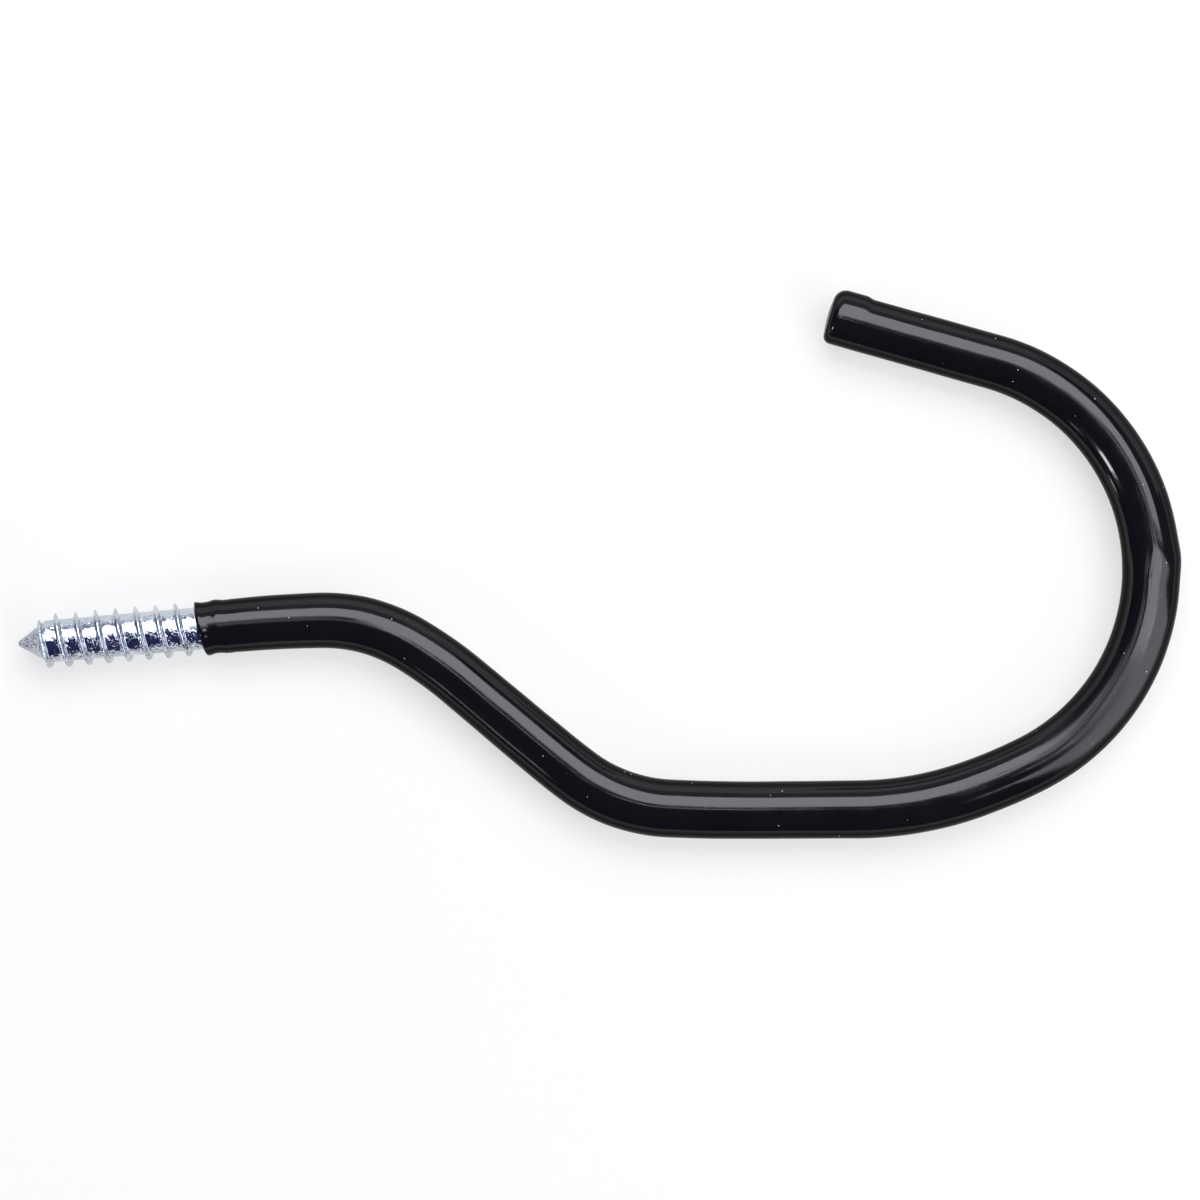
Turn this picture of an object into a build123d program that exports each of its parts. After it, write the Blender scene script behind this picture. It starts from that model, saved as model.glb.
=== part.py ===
from build123d import *

import os
from math import ceil, cos, pi, radians, sin, tan

os.makedirs("parts", exist_ok=True)

# Storage hook that screws into a wall or joist: one steel rod with a rolled wood-screw thread,
# bent and then dipped in black vinyl. Sizes are in millimetres, angles in degrees.
# The screw's axis lies along X and points into the wall towards -X. The origin is on that axis,
# where the coating begins. The hook is bent in the XY plane.

# Wood-screw thread
thread_diameter = 7.94
root_diameter = 6.17
pitch = 2.93
crest_width = 0.4
ridge_width = 1.15
ridge_embedding = 0.25

# Blunt point of the screw
screw_length = 26.9
point_half_angle = 33.0
point_flat_diameter = 0.6

# Turns are counted along the thread. At turn 0 its ridge crosses the top of the rod, at +Y, here.
turn_zero = -0.6

# The ridge rises out of the point over its first turn, where its turns lie closer together
thread_start_setback = 2.33
thread_start_cover = 0.2
thread_start_crowding = 0.85
rise_turns = 1.1

# Under the coating it sinks into the root as that grows into the full rod
runout_end_setback = 1.53
runout_length = 6.3
runout_sink = 0.6
runout_core_length = 6.0

# Steel rod
rod_diameter = 7.0
rod_end_chamfer = 0.5

# The centreline in order from the wall. Each bend is a row of arcs that follow one another:
# a cold bend has a tight middle and easier ends. A clockwise turn is negative.
covered_straight = 6.5
shank_bend_radii = [176.0, 24.1, 56.7]
shank_bend_turns = [-3.6, -31.4, -9.9]
slope_length = 16.5
heel_bend_radii = [87.4, 24.2, 237.0]
heel_bend_turns = [3.5, 33.8, 3.1]
cradle_length = 14.9
hook_bend_radii = [51.1, 85.7, 31.7, 31.7]
hook_bend_turns = [20.0, 5.5, 67.0, 71.4]
tip_length = 24.1

# Thickness of the vinyl coating at the end of each stretch of the centreline:
# it ran down towards the heel and the cradle before it set
collar_cover = 0.46
shank_bend_covers = [0.57, 0.62, 0.7]
slope_cover = 0.79
heel_bend_covers = [0.8, 0.76, 0.7]
cradle_cover = 0.76
hook_bend_covers = [0.78, 0.78, 0.74, 0.55]
tip_cover = 0.49
end_cover = 0.8
end_fillet = 1.4

# Start of the coating, where it lies thinly between the thread's last ridges
lip_slant = 8.8
lip_overlength = 2.0
lip_valley_cover = 0.21
collar_valley_cover = 0.77
collar_valley_place = 2.0

# Ripple that the covered end of the thread raises in the coating
ripple_cover = 0.05
ripple_height = 0.45
ripple_width = 2.4
ripple_start_turn = -0.5
ripple_end_setback = 0.65
ripple_sink = 0.2
ripple_steps = 6

points_in_turn = 24

thread_radius = thread_diameter / 2
root_radius = root_diameter / 2
rod_radius = rod_diameter / 2


def turn_at(place):
    return (place - turn_zero) / pitch


thread_start_place = thread_start_setback - screw_length
thread_start_turn = turn_at(thread_start_place - thread_start_crowding * rise_turns)
thread_full_turn = thread_start_turn + rise_turns
runout_end_turn = turn_at(covered_straight - runout_end_setback)
runout_start_turn = turn_at(covered_straight - runout_end_setback - runout_length)
ripple_end_turn = turn_at(covered_straight - ripple_end_setback)


class Stretch:
    """One straight or arc of the centreline, with the coating's thickness at its ends."""

    def __init__(self, line, cover_start, cover_end):
        self.line = line
        self.cover_start = cover_start
        self.cover_end = cover_end


def straight_after(last, length, cover_end):
    line = Line(last.line @ 1, last.line @ 1 + (last.line % 1) * length)
    return Stretch(line, last.cover_end, cover_end)


def bend_after(last, radii, turns, covers):
    stretches = []
    for radius, turn, cover_end in zip(radii, turns, covers):
        arc = JernArc(start=last.line @ 1, tangent=last.line % 1, radius=radius, arc_size=turn)
        last = Stretch(arc, last.cover_end, cover_end)
        stretches.append(last)
    return stretches


def hook_stretches(end_length):
    """The centreline from the end of the covered straight to the tip."""
    shank = Line((0, 0, 0), (covered_straight, 0, 0))
    shank_end = Stretch(shank, collar_cover, collar_cover)
    run = bend_after(shank_end, shank_bend_radii, shank_bend_turns, shank_bend_covers)
    run.append(straight_after(run[-1], slope_length, slope_cover))
    run += bend_after(run[-1], heel_bend_radii, heel_bend_turns, heel_bend_covers)
    run.append(straight_after(run[-1], cradle_length, cradle_cover))
    run += bend_after(run[-1], hook_bend_radii, hook_bend_turns, hook_bend_covers)
    run.append(straight_after(run[-1], end_length, tip_cover))
    return run


def across(place, heading, radius):
    """A round section that stands square to the centreline."""
    return Plane(origin=place, x_dir=(0, 0, 1), z_dir=heading) * Circle(radius)


def ridge_place(turn):
    """Where a ridge's middle lies along the axis; the first turn is crowded towards the shank."""
    return turn_zero + pitch * turn + thread_start_crowding * max(thread_full_turn - turn, 0)


def ridge_point(turn, offset, radius):
    angle = 2 * pi * turn
    return Vector(ridge_place(turn) + offset, radius * cos(angle), radius * sin(angle))


def helical_ridge(outline, first_turn, last_turn, sink):
    """A ridge wound around the X axis.

    The outline is a list of (offset along the axis, radius) corners, and sink says how far
    it lies below its full radius at a turn.
    """
    corners = len(outline)
    spans = ceil(last_turn - first_turn)
    span = (last_turn - first_turn) / spans
    steps = ceil(points_in_turn * span)
    faces = []
    for index in range(spans):
        edges = []
        for offset, radius in outline:
            turns = [first_turn + (index + step / steps) * span for step in range(steps + 1)]
            points = [ridge_point(turn, offset, radius - sink(turn)) for turn in turns]
            edges.append(Edge.make_spline(points))
        for corner in range(corners):
            faces.append(Face.make_surface_from_curves(edges[corner], edges[(corner + 1) % corners]))
    for turn in (first_turn, last_turn):
        loop = [ridge_point(turn, offset, radius - sink(turn)) for offset, radius in outline]
        faces.append(Face(Wire.make_polygon(loop)))
    return Solid(Shell(faces))


def point_radius(along):
    return point_flat_diameter / 2 + (along + screw_length) * tan(radians(point_half_angle))


def thread_sink(turn):
    """The ridge rises out of the point at the start and sinks into the rod at the runout."""
    if turn < thread_full_turn:
        rise = (turn - thread_start_turn) / rise_turns
        start_radius = point_radius(thread_start_place) - thread_start_cover
        return (thread_radius - start_radius) * (1 - sin(pi / 2 * rise))
    if turn > runout_start_turn:
        return runout_sink * (turn - runout_start_turn) / (runout_end_turn - runout_start_turn)
    return 0.0


def thread_ridge():
    flank = (ridge_width - crest_width) / 2
    depth = thread_radius - root_radius
    foot_radius = root_radius - ridge_embedding
    foot_width = ridge_width / 2 + flank * ridge_embedding / depth
    outline = [
        (-foot_width, foot_radius),
        (-crest_width / 2, thread_radius),
        (crest_width / 2, thread_radius),
        (foot_width, foot_radius),
    ]
    return helical_ridge(outline, thread_start_turn, runout_end_turn, thread_sink)


def screw_core():
    """Point, root cylinder and the cone that grows from the root to the full rod."""
    point_length = (root_radius - point_flat_diameter / 2) / tan(radians(point_half_angle))
    outline = Polyline(
        (-screw_length, 0),
        (-screw_length, point_flat_diameter / 2),
        (-screw_length + point_length, root_radius),
        (covered_straight - runout_core_length, root_radius),
        (covered_straight, rod_radius),
        (covered_straight, 0),
        close=True,
    )
    return revolve(make_face(outline), axis=Axis.X)


def hook_rod():
    stretches = hook_stretches(tip_length)
    wire = Wire([stretch.line.edge() for stretch in stretches])
    rod = sweep(across(wire @ 0, wire % 0, rod_radius), path=wire)
    end = rod.faces().sort_by_distance(wire @ 1)[0]
    rod = chamfer(end.edges(), rod_end_chamfer)
    return rod + screw_core() + thread_ridge()


def ripple_sink_at(turn):
    """The ripple fades evenly from full turns at the lip."""
    return ripple_sink * max(turn, 0) / ripple_end_turn


def coating_ripple():
    """A soft swelling over the thread's covered turns, with a cosine section."""
    half_width = ripple_width / 2
    outline = []
    for step in range(ripple_steps + 1):
        offset = half_width * (2 * step / ripple_steps - 1)
        drop = ripple_height * (1 - cos(pi * offset / half_width)) / 2
        outline.append((offset, thread_radius + ripple_cover - drop))
    return helical_ridge(outline, ripple_start_turn, ripple_end_turn, ripple_sink_at)


def coating_collar():
    """The thin start of the coating, long enough to be cut at the slanted lip."""
    outline = Polyline(
        (-lip_overlength, 0),
        (-lip_overlength, root_radius + lip_valley_cover),
        (collar_valley_place, root_radius + collar_valley_cover),
        (covered_straight, rod_radius + collar_cover),
        (covered_straight, 0),
        close=True,
    )
    return revolve(make_face(outline), axis=Axis.X)


def coated_stretch(stretch):
    """A piece of the coated rod that tapers from one thickness of coating to the next."""
    line = stretch.line
    start = across(line @ 0, line % 0, rod_radius + stretch.cover_start)
    end = across(line @ 1, line % 1, rod_radius + stretch.cover_end)
    return sweep([start, end], path=Wire([line.edge()]), multisection=True)


def vinyl_coating(rod):
    stretches = hook_stretches(tip_length + end_cover)
    body = coating_collar() + coating_ripple()
    for stretch in stretches:
        body += coated_stretch(stretch)
    tip = stretches[-1].line @ 1
    end = body.faces().sort_by_distance(tip)[0]
    body = fillet(end.edges(), end_fillet)
    lip_normal = (cos(radians(lip_slant)), sin(radians(lip_slant)), 0)
    lip = Plane(origin=(0, 0, 0), z_dir=lip_normal)
    body = split(body, bisect_by=lip, keep=Keep.TOP)
    return body - rod


rod = hook_rod()
export_step(rod, "parts/hook_rod.step")
export_step(vinyl_coating(rod), "parts/vinyl_coating.step")
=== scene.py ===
from math import cos, pi, radians, sin, tan

import bpy
import numpy as np
from mathutils import Matrix, Vector, noise


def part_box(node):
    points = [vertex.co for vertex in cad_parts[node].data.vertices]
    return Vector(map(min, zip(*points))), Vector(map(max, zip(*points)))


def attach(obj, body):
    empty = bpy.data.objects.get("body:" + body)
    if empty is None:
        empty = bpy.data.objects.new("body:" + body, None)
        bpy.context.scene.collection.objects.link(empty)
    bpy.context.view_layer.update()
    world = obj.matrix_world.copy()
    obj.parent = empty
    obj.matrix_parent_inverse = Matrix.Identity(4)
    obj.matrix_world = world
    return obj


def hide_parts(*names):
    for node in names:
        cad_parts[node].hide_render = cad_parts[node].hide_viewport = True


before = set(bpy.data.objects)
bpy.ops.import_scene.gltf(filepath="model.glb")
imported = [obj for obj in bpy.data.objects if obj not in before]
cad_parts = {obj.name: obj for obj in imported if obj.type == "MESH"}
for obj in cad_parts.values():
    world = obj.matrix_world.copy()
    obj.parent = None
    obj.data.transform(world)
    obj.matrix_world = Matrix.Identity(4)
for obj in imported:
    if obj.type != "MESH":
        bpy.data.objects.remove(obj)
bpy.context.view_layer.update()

# Sizes are in millimetres and angles in degrees, as in the CAD model, and points become metres.
MM = 0.001

# Wood-screw thread
thread_radius = 3.97
root_radius = 3.085
pitch = 2.93
turn_zero = -0.6
screw_length = 26.9
point_half_angle = 33.0
point_flat_radius = 0.3
thread_start_setback = 2.33
thread_start_cover = 0.2
thread_start_crowding = 0.85
rise_turns = 1.1
runout_end_setback = 1.53
runout_length = 6.3
runout_sink = 0.6
runout_core_length = 6.0
flank_fillet = 0.16

# Outline of a ridge: offsets along the axis from its middle, and heights over the root.
# Rolling has left the crest a little higher on the side of the point.
ridge_offsets = [-0.5, -0.2, -0.15, 0.07, 0.16, 0.55]
ridge_heights = [-0.25, 0.83, 0.895, 0.86, 0.76, -0.25]

# Steel rod and its centreline from the end of the thread to the tip
rod_radius = 3.5
rod_end_chamfer = 0.5
covered_straight = 6.5
shank_bend_radii = [176.0, 24.1, 56.7]
shank_bend_turns = [-3.6, -31.4, -9.9]
slope_length = 16.5
heel_bend_radii = [87.4, 24.2, 237.0]
heel_bend_turns = [3.5, 33.8, 3.1]
cradle_length = 14.9
hook_bend_radii = [51.1, 85.7, 31.7, 31.7]
hook_bend_turns = [20.0, 5.5, 67.0, 71.4]
tip_length = 24.1

# Thickness of the vinyl coating at the end of each stretch
collar_cover = 0.46
shank_bend_covers = [0.57, 0.62, 0.7]
slope_cover = 0.79
heel_bend_covers = [0.8, 0.76, 0.7]
cradle_cover = 0.76
hook_bend_covers = [0.78, 0.78, 0.74, 0.55]
tip_cover = 0.49
end_cover = 0.8
bore_clearance = 0.01

# Start of the coating: it lies thinly over the root, swells over the covered ridges and ends
# in a rounded lip that follows the ridge under it.
collar_places = [-1.5, 0.4, 2.2, 3.4]
collar_radii = [3.5, 3.76, 3.86, 3.88]
ripple_turns = [0.0, 0.5, 1.0, 1.5, 2.0, 2.6]
ripple_radii = [3.89, 4.08, 4.02, 3.97, 3.94, 3.9]
ripple_half_width = 1.25
covered_turns = 3
ripple_fade_end = 1.0
ripple_fade_length = 2.0
ripple_softening = 0.85
ripple_softening_start = 0.4
ripple_softening_turns = 0.5
lip_middle = -0.125
lip_slant = -0.495
lip_lead = -0.245
lip_round = 0.4
lip_reach = 6.0

# Unevenness that the dipping and the bending left in the coating
kink_height = 0.2
kink_reach = 2.0
squash_lean = 0.2
squash_flat = 0.12
squash_start = 134.0
squash_rise = 14.0
squash_end = 170.0
squash_fall = 5.0
bead_height = 0.28
bead_length = 5.9
bead_step = 1.3
bead_side = 0.35
end_round_middle = 1.5
end_round_swing = 0.4
end_crown = 0.2
sag_height = 0.03
sag_size = 5.5
sag_lead = 3.0
orange_peel_height = 0.0025
orange_peel_size = 1.3
cover_step = 0.1
cover_margin = 10.0
cover_smoothing = 4.0
collar_smoothing = 1.6
collar_end = 2.5
collar_blend = 2.0

# Where the bending tool has dulled the vinyl: place, and the distances over which that fades
scuff_place = (129.8, -23.3, 4.0)
scuff_reach = (6.0, 15.0)
scuff_roughness = 0.13

# Crinkled zinc on the screw. Its point is dull up to the shoulder.
crinkle_height = 0.016
crinkle_size = 0.8
fine_crinkle_size = crinkle_size / 2.4
fine_crinkle_share = 0.5
crinkle_end = 1.0
crinkle_fade = 1.0
point_shoulder = (-23.6, -22.8)
point_dullness = 0.04
point_crinkle = 1.4
zinc_tones = [(0.3, (0.47, 0.55, 0.57)), (0.5, (0.56, 0.61, 0.66)), (0.72, (0.65, 0.67, 0.74))]
zinc_roughness = (0.1, 0.22)
coarse_bump_depth = 0.32
fine_bump_depth = 0.03
fine_bump_strength = 0.2

# How much of the crinkle shows across the screw: places over the band along Y, then shares.
# It comes in patches: the noise between these limits raises the share from the least to all.
crinkle_band = (-4.0, 4.0)
crinkle_shares = [(0.18, 0.95), (0.3, 0.42), (0.5, 0.5), (0.58, 0.08), (0.66, 0.08), (0.74, 0.5)]
patch_limits = (0.42, 0.56)
patch_least = 0.1

# Black vinyl. Its specular level falls from the middle to the edges that it shows, between two
# values of the facing.
vinyl_tones = [(0.3, (0.0041, 0.0038, 0.0034)), (0.7, (0.0057, 0.0053, 0.0052))]
vinyl_roughness = (0.07, 0.15)
edge_facing = (0.15, 0.47)
edge_specular = (0.5, 0.018)
peel_bump_depth = 0.03
peel_bump_strength = 0.2
dust_density = 480
dust_shades = [(0.03, (1, 1, 1)), (0.042, (0, 0, 0))]
dust_colour = (0.75, 0.75, 0.78, 1)

# The camera looks straight down at the middle of the picture, which is turned a little.
picture_middle = (58.4, -0.87)
picture_width = 175.44
picture_turn = 4.9
camera_height = 700.0
camera_near = 10.0
sensor_width = 36.0

# Floor on which the coated rod lies
floor_size = 6000.0
floor_colour = (0.89, 0.895, 0.83)
floor_fibre_shade = 0.992
floor_glow = 0.62

# Light. The world's colour is what the room around the lamps sends.
room_colour = (0.022, 0.027, 0.1, 1)
white = (1, 1, 1)
cool_white = (0.97, 0.965, 1.05)

# Level lamps over the hook: place, with X from the picture's middle and Y from the screw's axis,
# then size, radiance and turn
ceiling_height = 1000.0
ceiling_lamps = {
    "key": ((340, 828), (1440, 944), 4.3, 0),
    "key_edge": ((527, 291), (1064, 130), 4.3, 0),
    "key_low_left": ((-4, 157), (52, 138), 4.3, 0),
    "key_low_middle": ((42, 188), (40, 76), 4.3, 0),
    "key_low_right": ((770, 143), (580, 166), 3.8, 0),
    "key_tongue": ((426, -128), (490, 150), 4.3, -16),
    "key_tongue_top": ((544, -52), (300, 60), 4.3, -16),
    "key_slope": ((324, 142), (340, 80), 2.3, -50),
    "key_slope_low": ((207, 114), (240, 30), 2.0, -40),
    "key_arc": ((6, 85), (160, 50), 3.4, -40),
    "key_arc_inner": ((-178, 187), (340, 120), 1.0, -65),
    "key_arc_start": ((-155, 336), (240, 120), 1.4, -40),
}

# Lamps that face the hook: azimuth from +X, angle from straight up and distance, then size,
# radiance and colour
facing_lamps = {
    "side_card": ((-34, 58, 1000), (740, 980), 2.4, cool_white),
    "back_card": ((88, 82, 1400), (1900, 420), 0.8, cool_white),
    "back_card_top": ((88, 65, 1300), (1700, 380), 0.24, cool_white),
    "back_card_right": ((33, 81, 1400), (980, 380), 0.7, cool_white),
    "small_lamp": ((211, 58, 900), (100, 170), 19.0, white),
    "low_lamp": ((203, 86, 900), (70, 60), 11.0, white),
    "slope_lamp": ((225, 73, 900), (60, 120), 1.9, white),
}

# Rows of points along the meshes, and columns round them
columns = 120
cap_rows = 7
cap_depth = 0.3
cap_first_angle = 0.15
thread_row_step = 0.06
thread_rows_end = 0.9
covered_rows_start = 1.1
covered_row_step = 0.25
rod_row_step = 1.9
rod_rows_lead = 1.5
bore_row_step = 0.2
collar_row_step = 0.12
collar_rows_end = 9.0
hook_row_step = 0.7
hook_rows_start = 9.4
hook_rows_setback = 7.0
bead_row_step = 0.25
bead_rows_start_setback = 6.7
bead_rows_end_setback = 2.2
lip_rows = 8
corner_rows = 12
end_rows = 8


# Centreline

def bend(radii, turns, covers):
    return [(radius * radians(abs(turn)), radians(turn), cover)
            for radius, turn, cover in zip(radii, turns, covers)]


def plan_stretches():
    """Length, turn and coating thickness at the end of each stretch."""
    plan = [(covered_straight, 0.0, collar_cover)]
    plan += bend(shank_bend_radii, shank_bend_turns, shank_bend_covers)
    plan.append((slope_length, 0.0, slope_cover))
    plan += bend(heel_bend_radii, heel_bend_turns, heel_bend_covers)
    plan.append((cradle_length, 0.0, cradle_cover))
    plan += bend(hook_bend_radii, hook_bend_turns, hook_bend_covers)
    plan.append((tip_length + end_cover, 0.0, tip_cover))
    return plan


stretches = plan_stretches()
joints = np.cumsum([length for length, _, _ in stretches])
coated_length = joints[-1]
steel_end = coated_length - end_cover
kink_place = joints[-3]


def centreline(s):
    """Places and headings at distances along the centreline from the coating's start."""
    x0, y0, heading0, start = 0.0, 0.0, 0.0, 0.0
    x, y, heading = s.copy(), np.zeros_like(s), np.zeros_like(s)
    for length, turn, _ in stretches:
        along = s - start
        here = along >= 0
        if turn:
            radius = length / turn
            now = heading0 + along / radius
            x = np.where(here, x0 + radius * (np.sin(now) - sin(heading0)), x)
            y = np.where(here, y0 - radius * (np.cos(now) - cos(heading0)), y)
            x0 += radius * (sin(heading0 + turn) - sin(heading0))
            y0 -= radius * (cos(heading0 + turn) - cos(heading0))
        else:
            now = np.full_like(s, heading0)
            x = np.where(here, x0 + along * cos(heading0), x)
            y = np.where(here, y0 + along * sin(heading0), y)
            x0 += length * cos(heading0)
            y0 += length * sin(heading0)
        heading = np.where(here, now, heading)
        heading0 += turn
        start += length
    return x, y, heading


def skin_points(s, angle, radius):
    """Points round the rod. Angles run from the inner side, +Y on the screw, towards +Z."""
    x, y, heading = centreline(s)
    side = radius * np.cos(angle)
    height = radius * np.sin(angle)
    return np.stack([x - side * np.sin(heading), y + side * np.cos(heading), height], axis=-1)


def wobble(points, size, seed):
    """Smooth noise between about -1 and 1 with features of the given size."""
    shift = Vector((seed, 2.3 * seed, 3.7 * seed))
    flat = points.reshape(-1, 3) / size
    values = [noise.noise(Vector(point) + shift) for point in flat]
    return np.array(values).reshape(points.shape[:-1])


def smooth_step(value):
    value = np.clip(value, 0, 1)
    return value * value * (3 - 2 * value)


def smooth_max(a, b, blend):
    """The larger of two surfaces, with a fillet between them."""
    return np.maximum(a, b) + np.maximum(blend - np.abs(a - b), 0) ** 2 / (4 * blend)


# Steel rod with its thread

def turn_at(place):
    return (place - turn_zero) / pitch


cone_slope = tan(radians(point_half_angle))
thread_start_place = thread_start_setback - screw_length
thread_start_turn = turn_at(thread_start_place - thread_start_crowding * rise_turns)
thread_full_turn = thread_start_turn + rise_turns
runout_end_turn = turn_at(covered_straight - runout_end_setback)
runout_start_turn = turn_at(covered_straight - runout_end_setback - runout_length)


def point_radius(s):
    return point_flat_radius + (s + screw_length) * cone_slope


def ridge_place(turn):
    return turn_zero + pitch * turn + thread_start_crowding * np.maximum(thread_full_turn - turn, 0)


def thread_sink(turn):
    """How far the ridge lies below its full height, at the point and at the runout."""
    rise = np.clip((turn - thread_start_turn) / rise_turns, 0, 1)
    start_radius = point_radius(thread_start_place) - thread_start_cover
    start_sink = (thread_radius - start_radius) * (1 - np.sin(pi / 2 * rise))
    runout = (turn - runout_start_turn) / (runout_end_turn - runout_start_turn)
    return start_sink + runout_sink * np.clip(runout, 0, 1)


def core_radius(s):
    """The rounded point, the root and the cone that grows into the full rod."""
    half_angle = radians(point_half_angle)
    point_round = point_flat_radius / (cos(half_angle) - cone_slope * (1 - sin(half_angle)))
    depth = np.clip(s + screw_length, 0, point_round)
    cap = np.sqrt(2 * point_round * depth - depth ** 2)
    runout_start = covered_straight - runout_core_length
    body = np.interp(s, [runout_start, covered_straight], [root_radius, rod_radius])
    cone = np.minimum(point_radius(s), body)
    tangent_depth = point_round * (1 - sin(half_angle))
    return np.where(s + screw_length < tangent_depth, cap, cone)


def steel_radius(s, angle):
    radius = core_radius(s)
    places = root_radius + np.array(ridge_heights)
    for whole in range(int(thread_start_turn) - 1, int(runout_end_turn) + 1):
        turn = whole + angle / (2 * pi)
        offset = s - ridge_place(turn)
        ridge = np.interp(offset, ridge_offsets, places, left=0, right=0) - thread_sink(turn)
        shown = (turn >= thread_start_turn) & (turn <= runout_end_turn) & (ridge > 0)
        radius = np.where(shown, smooth_max(radius, ridge, flank_fillet), radius)
    return radius


def round_the_rod(s):
    """Grids of distances and angles: a row for each distance, a column for each angle."""
    angles = np.arange(columns) * 2 * pi / columns
    return np.meshgrid(s, angles, indexing="ij")


def path_steps(start, end, step):
    return np.linspace(start, end, max(2, round((end - start) / step)))


def closed_skin(name, points):
    """One closed mesh over rows of points, with a middle point at each end."""
    rows, around = points.shape[:2]
    corners = np.concatenate([points.reshape(-1, 3), points[[0, -1]].mean(axis=1)]) * MM
    row, column = np.meshgrid(np.arange(rows - 1), np.arange(around), indexing="ij")
    following = (column + 1) % around
    quads = np.stack([row * around + column, row * around + following,
                      (row + 1) * around + following, (row + 1) * around + column], axis=-1)
    faces = quads.reshape(-1, 4).tolist()
    first_end, last_end = rows * around, rows * around + 1
    for here in range(around):
        after = (here + 1) % around
        last_row = (rows - 1) * around
        faces.append((first_end, after, here))
        faces.append((last_end, last_row + here, last_row + after))
    mesh = bpy.data.meshes.new(name)
    mesh.from_pydata(corners.tolist(), [], faces)
    mesh.polygons.foreach_set("use_smooth", [True] * len(faces))
    mesh.update()
    piece = bpy.data.objects.new(name, mesh)
    bpy.context.scene.collection.objects.link(piece)
    return piece


def make_steel():
    cap_angles = np.linspace(cap_first_angle, pi / 2, cap_rows)
    point_rows = -screw_length + cap_depth * (1 - np.cos(cap_angles))
    screw_rows = path_steps(point_rows[-1] + thread_row_step, thread_rows_end, thread_row_step)
    covered_rows = path_steps(covered_rows_start, covered_straight, covered_row_step)
    rod_rows = path_steps(covered_straight + rod_rows_lead, steel_end - rod_end_chamfer, rod_row_step)
    rows = np.concatenate([point_rows, screw_rows, covered_rows, rod_rows, [steel_end]])
    s, angle = round_the_rod(rows)
    radius = steel_radius(s, angle)
    radius[-1] -= rod_end_chamfer
    bare = skin_points(s, angle, radius)
    fade = smooth_step((s + screw_length) / crinkle_fade)
    fade = fade * smooth_step((crinkle_end - s) / crinkle_fade)
    crinkle = wobble(bare, crinkle_size, seed=5.0)
    crinkle = crinkle + fine_crinkle_share * wobble(bare, fine_crinkle_size, seed=9.0)
    crinkled = radius + crinkle_height * fade * crinkle
    return closed_skin("screw_and_rod", skin_points(s, angle, crinkled))


# Vinyl coating

def smoothed(values, length):
    window = np.hanning(2 * round(length / cover_step / 2) + 1)
    padded = np.pad(values, len(window) // 2, mode="edge")
    return np.convolve(padded, window / window.sum(), mode="valid")


def cover_table():
    """Outer radius of the coating along the rod, smoothed over the joints of the stretches."""
    places = np.arange(-cover_margin, coated_length + cover_margin, cover_step)
    known_places = collar_places + list(joints)
    known_radii = collar_radii + [rod_radius + cover for _, _, cover in stretches]
    radii = np.interp(places, known_places, known_radii)
    past_collar = smooth_step((places - collar_end) / collar_blend)
    collar = smoothed(radii, collar_smoothing)
    return places, collar + past_collar * (smoothed(radii, cover_smoothing) - collar)


cover_places, cover_radii = cover_table()


def squash(s, angle):
    """The bending tool has flattened the upper side before the kink and leant it outwards."""
    share = smooth_step((s - squash_start) / squash_rise)
    share = share * smooth_step((squash_end - s) / squash_fall)
    upper_side = np.maximum(np.sin(angle), 0) ** 2
    return share * upper_side * (squash_lean * np.cos(3 * angle) + squash_flat * np.cos(4 * angle))


def coating_radius(s, angle):
    radius = np.interp(s, cover_places, cover_radii)
    valley = radius.copy()
    for whole in range(covered_turns):
        turn = whole + angle / (2 * pi)
        offset = np.clip((s - ridge_place(turn)) / ripple_half_width, -1, 1)
        crest = np.interp(turn, ripple_turns, ripple_radii)
        fade = smooth_step((covered_straight + ripple_fade_end - s) / ripple_fade_length)
        softened = smooth_step((turn - ripple_softening_start) / ripple_softening_turns)
        fade = fade * (1 - ripple_softening * softened * np.sin(angle) ** 2)
        swell = np.maximum(crest - valley, 0) * fade * np.cos(pi / 2 * offset) ** 2
        radius = np.maximum(radius, valley + swell)
    radius = radius - squash(s, angle)
    outer_side = -np.cos(angle)
    kink = kink_height * np.exp(-((s - kink_place) / kink_reach) ** 2)
    bead = bead_height * smooth_step((s - coated_length + bead_length) / bead_step)
    radius = radius + kink * np.maximum(outer_side, 0)
    radius = radius + bead * smooth_step((outer_side - bead_side) / (1 - bead_side))
    even = skin_points(s, angle, radius)
    away_from_lip = smooth_step(s / sag_lead)
    radius = radius + sag_height * away_from_lip * wobble(even, sag_size, seed=1.0)
    return radius + orange_peel_height * wobble(even, orange_peel_size, seed=4.0)


def lip_place(angle):
    return lip_middle + lip_slant * np.cos(angle) + lip_lead * np.sin(angle)


def coating_outside(rows):
    s, angle = round_the_rod(rows)
    s = s + lip_place(angle) * smooth_step(1 - (s - lip_round) / lip_reach)
    return skin_points(s, angle, coating_radius(s, angle))


def coating_lip():
    """The rounded edge from the steel to the outside."""
    quarter, angle = round_the_rod(np.linspace(0, pi / 2, lip_rows)[:-1])
    start = lip_place(angle)
    s = start + lip_round * (1 - np.cos(quarter))
    inner = steel_radius(s, angle)
    outer = coating_radius(s, angle)
    return skin_points(s, angle, inner + (outer - inner) * np.sin(quarter))


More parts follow.
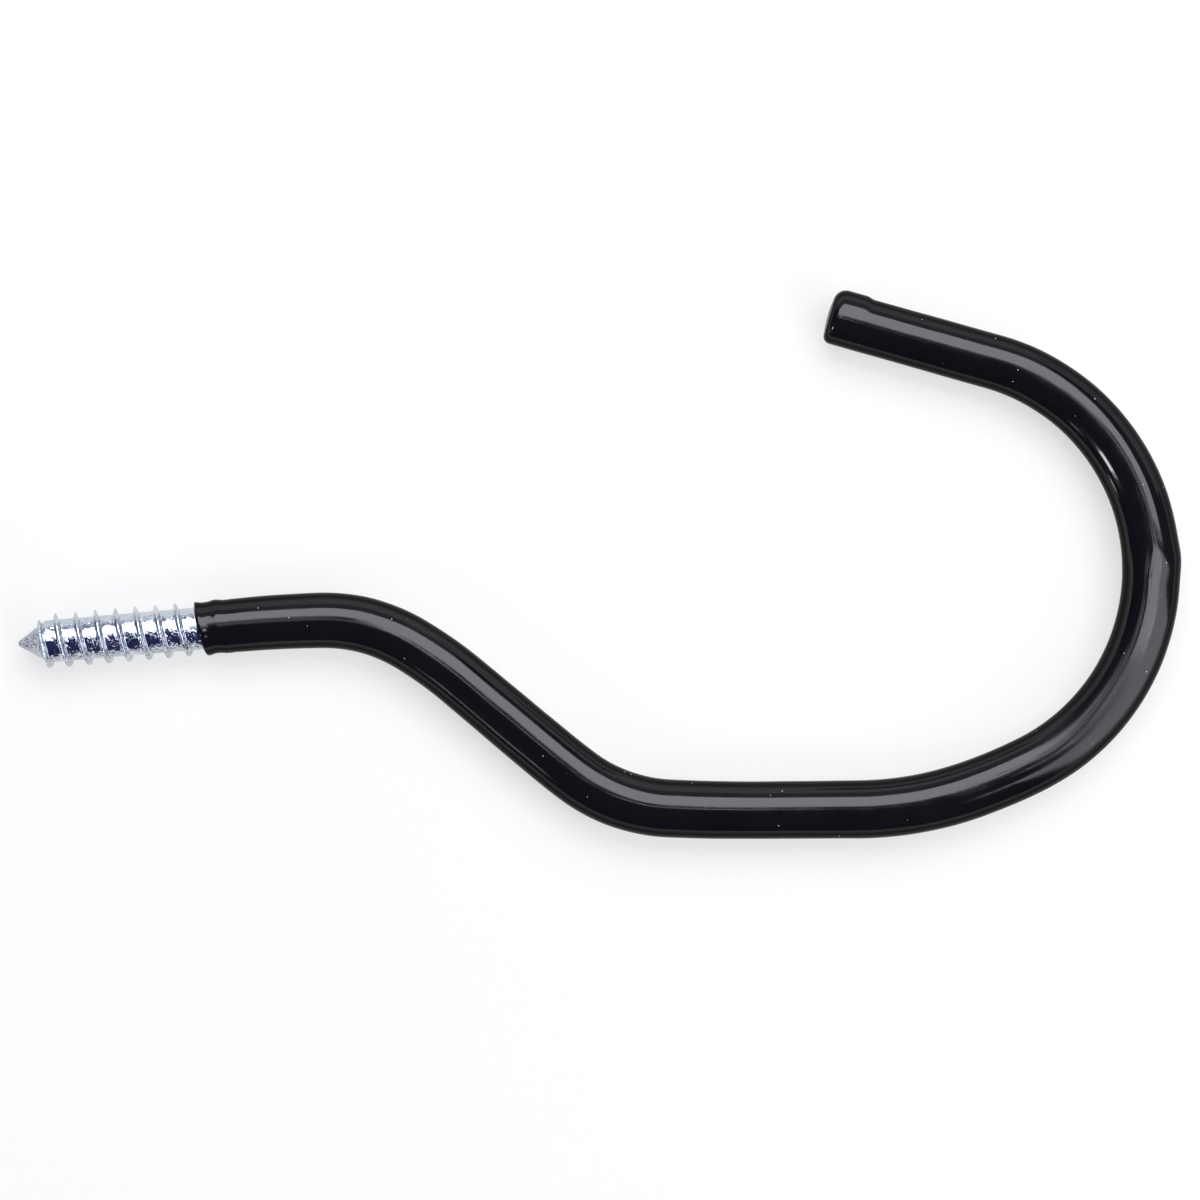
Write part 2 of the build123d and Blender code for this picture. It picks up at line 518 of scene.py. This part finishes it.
def coating_tip():
    """The rounded end, with a corner that is larger on the outer side of the hook."""
    quarter, angle = round_the_rod(np.linspace(0, pi / 2, corner_rows))
    corner = end_round_middle - end_round_swing * np.cos(angle)
    outer = coating_radius(coated_length - corner, angle)
    s = coated_length - corner * (1 - np.sin(quarter))
    rounded = skin_points(s, angle, outer - corner * (1 - np.cos(quarter)))
    share, angle = round_the_rod(np.linspace(1, 0, end_rows)[1:-1])
    crown = end_crown * (1 - share ** 2)
    flat = skin_points(coated_length + crown, angle, share * (outer[0] - corner[0]))
    return np.concatenate([rounded, flat])


def coating_bore():
    """The inside, from the covered end of the steel back to the lip."""
    rod_rows = path_steps(covered_straight + rod_rows_lead, steel_end - rod_rows_lead, rod_row_step)
    collar_rows = path_steps(lip_round, covered_straight, bore_row_step)
    rows = np.concatenate([collar_rows, rod_rows, [steel_end]])[::-1]
    s, angle = round_the_rod(rows)
    s = s + lip_place(angle) * smooth_step(1 - s / lip_reach)
    return skin_points(s, angle, steel_radius(s, angle) + bore_clearance)


def make_coating():
    collar_rows = path_steps(lip_round, collar_rows_end, collar_row_step)
    hook_rows = path_steps(hook_rows_start, coated_length - hook_rows_setback, hook_row_step)
    bead_rows = path_steps(coated_length - bead_rows_start_setback,
                           coated_length - bead_rows_end_setback, bead_row_step)
    outside = coating_outside(np.concatenate([collar_rows, hook_rows, bead_rows]))
    skin = np.concatenate([coating_bore(), coating_lip(), outside, coating_tip()])
    return closed_skin("coating", skin)


# Materials. Scales of noise are counted per metre.

def new_material(name):
    material = bpy.data.materials.new(name)
    material.use_nodes = True
    nodes = material.node_tree.nodes
    return material, nodes, material.node_tree.links, nodes["Principled BSDF"]


def noise_node(nodes, links, place, scale, detail, roughness=0.5):
    texture = nodes.new("ShaderNodeTexNoise")
    texture.inputs["Scale"].default_value = scale
    texture.inputs["Detail"].default_value = detail
    texture.inputs["Roughness"].default_value = roughness
    links.new(place.outputs["Object"], texture.inputs["Vector"])
    return texture


def colour_ramp(nodes, links, source, stops):
    ramp = nodes.new("ShaderNodeValToRGB")
    elements = ramp.color_ramp.elements
    while len(elements) < len(stops):
        elements.new(0.5)
    for element, (position, colour) in zip(elements, stops):
        element.position = position
        element.color = (*colour, 1)
    links.new(source, ramp.inputs["Fac"])
    return ramp


def value_range(nodes, links, source, low, high, from_low=0.3, from_high=0.7, curve="LINEAR"):
    mapped = nodes.new("ShaderNodeMapRange")
    mapped.interpolation_type = curve
    mapped.inputs["From Min"].default_value = from_low
    mapped.inputs["From Max"].default_value = from_high
    mapped.inputs["To Min"].default_value = low
    mapped.inputs["To Max"].default_value = high
    links.new(source, mapped.inputs["Value"])
    return mapped.outputs["Result"]


def calculate(nodes, links, operation, first, second=None, number=0.0):
    """A math node on two sockets, or on a socket and a number."""
    node = nodes.new("ShaderNodeMath")
    node.operation = operation
    node.inputs[1].default_value = number
    links.new(first, node.inputs[0])
    if second:
        links.new(second, node.inputs[1])
    return node.outputs["Value"]


def bump(nodes, links, height, strength, distance, below=None):
    node = nodes.new("ShaderNodeBump")
    node.inputs["Strength"].default_value = strength
    node.inputs["Distance"].default_value = distance
    links.new(height, node.inputs["Height"])
    if below:
        links.new(below.outputs["Normal"], node.inputs["Normal"])
    return node


def zinc_material():
    """Bright bluish zinc over a rolled, slightly crinkled surface."""
    material, nodes, links, shader = new_material("bright_zinc")
    place = nodes.new("ShaderNodeTexCoord")
    tint = noise_node(nodes, links, place, scale=420, detail=3)
    colours = colour_ramp(nodes, links, tint.outputs["Fac"], zinc_tones)
    links.new(colours.outputs["Color"], shader.inputs["Base Color"])
    shader.inputs["Metallic"].default_value = 1.0
    grain = noise_node(nodes, links, place, scale=1600, detail=4, roughness=0.6)
    polish = value_range(nodes, links, grain.outputs["Fac"], *zinc_roughness)
    axes = nodes.new("ShaderNodeSeparateXYZ")
    links.new(place.outputs["Object"], axes.inputs["Vector"])
    point = value_range(nodes, links, axes.outputs["X"], low=1.0, high=0.0,
                        from_low=point_shoulder[0] * MM, from_high=point_shoulder[1] * MM)
    dull = calculate(nodes, links, "MULTIPLY", point, number=point_dullness)
    links.new(calculate(nodes, links, "ADD", polish, dull), shader.inputs["Roughness"])
    crinkle = noise_node(nodes, links, place, scale=2600, detail=2)
    across = value_range(nodes, links, axes.outputs["Y"], low=0.0, high=1.0,
                         from_low=crinkle_band[0] * MM, from_high=crinkle_band[1] * MM)
    greys = [(position, (share, share, share)) for position, share in crinkle_shares]
    rough_sides = colour_ramp(nodes, links, across, greys)
    patches = noise_node(nodes, links, place, scale=900, detail=1)
    crumpled = value_range(nodes, links, patches.outputs["Fac"], low=patch_least, high=1.0,
                           from_low=patch_limits[0], from_high=patch_limits[1])
    amount = calculate(nodes, links, "MULTIPLY", rough_sides.outputs["Color"], crumpled)
    crumpled_point = calculate(nodes, links, "MULTIPLY", point, number=point_crinkle)
    amount = calculate(nodes, links, "MAXIMUM", amount, crumpled_point)
    bump_height = calculate(nodes, links, "MULTIPLY", crinkle.outputs["Fac"], amount)
    fine = noise_node(nodes, links, place, scale=7500, detail=2)
    coarse_bump = bump(nodes, links, bump_height, strength=1.0, distance=coarse_bump_depth * MM)
    fine_bump = bump(nodes, links, fine.outputs["Fac"], strength=fine_bump_strength,
                     distance=fine_bump_depth * MM, below=coarse_bump)
    links.new(fine_bump.outputs["Normal"], shader.inputs["Normal"])
    return material


def vinyl_material():
    """Deep black glossy vinyl with a faint unevenness and a few specks of dust."""
    material, nodes, links, shader = new_material("black_vinyl")
    place = nodes.new("ShaderNodeTexCoord")
    cloud = noise_node(nodes, links, place, scale=90, detail=3)
    black = colour_ramp(nodes, links, cloud.outputs["Fac"], vinyl_tones)
    dust = nodes.new("ShaderNodeTexVoronoi")
    dust.inputs["Scale"].default_value = dust_density
    links.new(place.outputs["Object"], dust.inputs["Vector"])
    speck = colour_ramp(nodes, links, dust.outputs["Distance"], dust_shades)
    mix = nodes.new("ShaderNodeMix")
    mix.data_type = "RGBA"
    links.new(speck.outputs["Color"], mix.inputs["Factor"])
    links.new(black.outputs["Color"], mix.inputs["A"])
    mix.inputs["B"].default_value = dust_colour
    links.new(mix.outputs["Result"], shader.inputs["Base Color"])
    smear = noise_node(nodes, links, place, scale=260, detail=4, roughness=0.6)
    smeared = value_range(nodes, links, smear.outputs["Fac"], *vinyl_roughness)
    away = nodes.new("ShaderNodeVectorMath")
    away.operation = "DISTANCE"
    away.inputs[1].default_value = Vector(scuff_place) * MM
    links.new(place.outputs["Object"], away.inputs[0])
    scuff = value_range(nodes, links, away.outputs["Value"], low=scuff_roughness, high=0.0,
                        from_low=scuff_reach[0] * MM, from_high=scuff_reach[1] * MM, curve="SMOOTHSTEP")
    links.new(calculate(nodes, links, "ADD", smeared, scuff), shader.inputs["Roughness"])
    edge = nodes.new("ShaderNodeLayerWeight")
    gloss = value_range(nodes, links, edge.outputs["Facing"], *edge_specular,
                        from_low=edge_facing[0], from_high=edge_facing[1], curve="SMOOTHSTEP")
    links.new(gloss, shader.inputs["Specular IOR Level"])
    peel = noise_node(nodes, links, place, scale=900, detail=2)
    peel_bump = bump(nodes, links, peel.outputs["Fac"], strength=peel_bump_strength,
                     distance=peel_bump_depth * MM)
    links.new(peel_bump.outputs["Normal"], shader.inputs["Normal"])
    return material


def floor_material():
    """Pale paper that looks white to the camera and in reflections, and keeps the hook's shadow."""
    material, nodes, links, shader = new_material("floor_paper")
    place = nodes.new("ShaderNodeTexCoord")
    fibre = noise_node(nodes, links, place, scale=30, detail=3)
    darker = tuple(floor_fibre_shade * channel for channel in floor_colour)
    tone = colour_ramp(nodes, links, fibre.outputs["Fac"], [(0.3, darker), (0.7, floor_colour)])
    links.new(tone.outputs["Color"], shader.inputs["Base Color"])
    shader.inputs["Roughness"].default_value = 1.0
    shader.inputs["Specular IOR Level"].default_value = 0.0
    paper = nodes["Material Output"].inputs["Surface"].links[0].from_socket
    lit = nodes.new("ShaderNodeMixShader")
    lit.inputs["Fac"].default_value = floor_glow
    glow = nodes.new("ShaderNodeEmission")
    links.new(paper, lit.inputs[1])
    links.new(glow.outputs["Emission"], lit.inputs[2])
    rays = nodes.new("ShaderNodeLightPath")
    seen = rays.outputs["Is Camera Ray"]
    for kind in ("Is Glossy Ray", "Is Transmission Ray"):
        seen = calculate(nodes, links, "MAXIMUM", seen, rays.outputs[kind])
    shown = nodes.new("ShaderNodeMixShader")
    links.new(seen, shown.inputs["Fac"])
    links.new(paper, shown.inputs[1])
    links.new(lit.outputs["Shader"], shown.inputs[2])
    links.new(shown.outputs["Shader"], nodes["Material Output"].inputs["Surface"])
    return material


def dress(piece, material, node):
    piece.data.materials.append(material)
    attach(piece, "root")
    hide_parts(node)


# Floor, light and camera

def make_floor(height):
    half = floor_size / 2
    corners = [(-half, -half, height), (half, -half, height),
               (half, half, height), (-half, half, height)]
    mesh = bpy.data.meshes.new("floor")
    mesh.from_pydata([Vector(corner) * MM for corner in corners], [], [(0, 1, 2, 3)])
    floor = bpy.data.objects.new("floor", mesh)
    bpy.context.scene.collection.objects.link(floor)
    mesh.materials.append(floor_material())


def area_lamp(name, place, size, radiance, colour):
    """A rectangular lamp of even brightness. It shines straight down until it is turned."""
    light = bpy.data.lights.new(name, "AREA")
    light.shape = "RECTANGLE"
    light.size, light.size_y = size[0] * MM, size[1] * MM
    light.energy = radiance * pi * light.size * light.size_y
    light.color = colour
    lamp = bpy.data.objects.new(name, light)
    lamp.location = Vector(place) * MM
    lamp.visible_camera = False
    bpy.context.scene.collection.objects.link(lamp)
    return lamp


def towards(azimuth, polar, distance):
    """A place seen from the hook's middle at an azimuth from +X and an angle from straight up."""
    azimuth, polar = radians(azimuth), radians(polar)
    x = picture_middle[0] + distance * cos(azimuth) * sin(polar)
    y = distance * sin(azimuth) * sin(polar)
    return x, y, distance * cos(polar)


def make_lights():
    for name, (place, size, radiance, turn) in ceiling_lamps.items():
        hung = (picture_middle[0] + place[0], place[1], ceiling_height)
        lamp = area_lamp(name, hung, size, radiance, cool_white)
        lamp.rotation_euler.z = radians(turn)
    hook_middle = Vector((picture_middle[0], 0, 0)) * MM
    for name, (direction, size, radiance, colour) in facing_lamps.items():
        lamp = area_lamp(name, towards(*direction), size, radiance, colour)
        aim = hook_middle - lamp.location
        lamp.rotation_euler = aim.to_track_quat("-Z", "Y").to_euler()
    world = bpy.data.worlds.new("dim_room")
    world.use_nodes = True
    background = world.node_tree.nodes["Background"]
    background.inputs["Color"].default_value = room_colour
    bpy.context.scene.world = world


def make_camera():
    data = bpy.data.cameras.new("camera")
    data.sensor_width = sensor_width
    data.lens = sensor_width * camera_height / picture_width
    data.clip_start = camera_near * MM
    camera = bpy.data.objects.new("camera", data)
    place = Matrix.Translation(Vector((*picture_middle, camera_height)) * MM)
    camera.matrix_world = place @ Matrix.Rotation(radians(-picture_turn), 4, "Z")
    bpy.context.scene.collection.objects.link(camera)
    bpy.context.scene.camera = camera


dress(make_steel(), zinc_material(), "hook_rod")
dress(make_coating(), vinyl_material(), "vinyl_coating")
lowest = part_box("vinyl_coating")[0].z / MM
make_floor(lowest)
make_lights()
make_camera()
bpy.context.scene.view_settings.view_transform = "Standard"
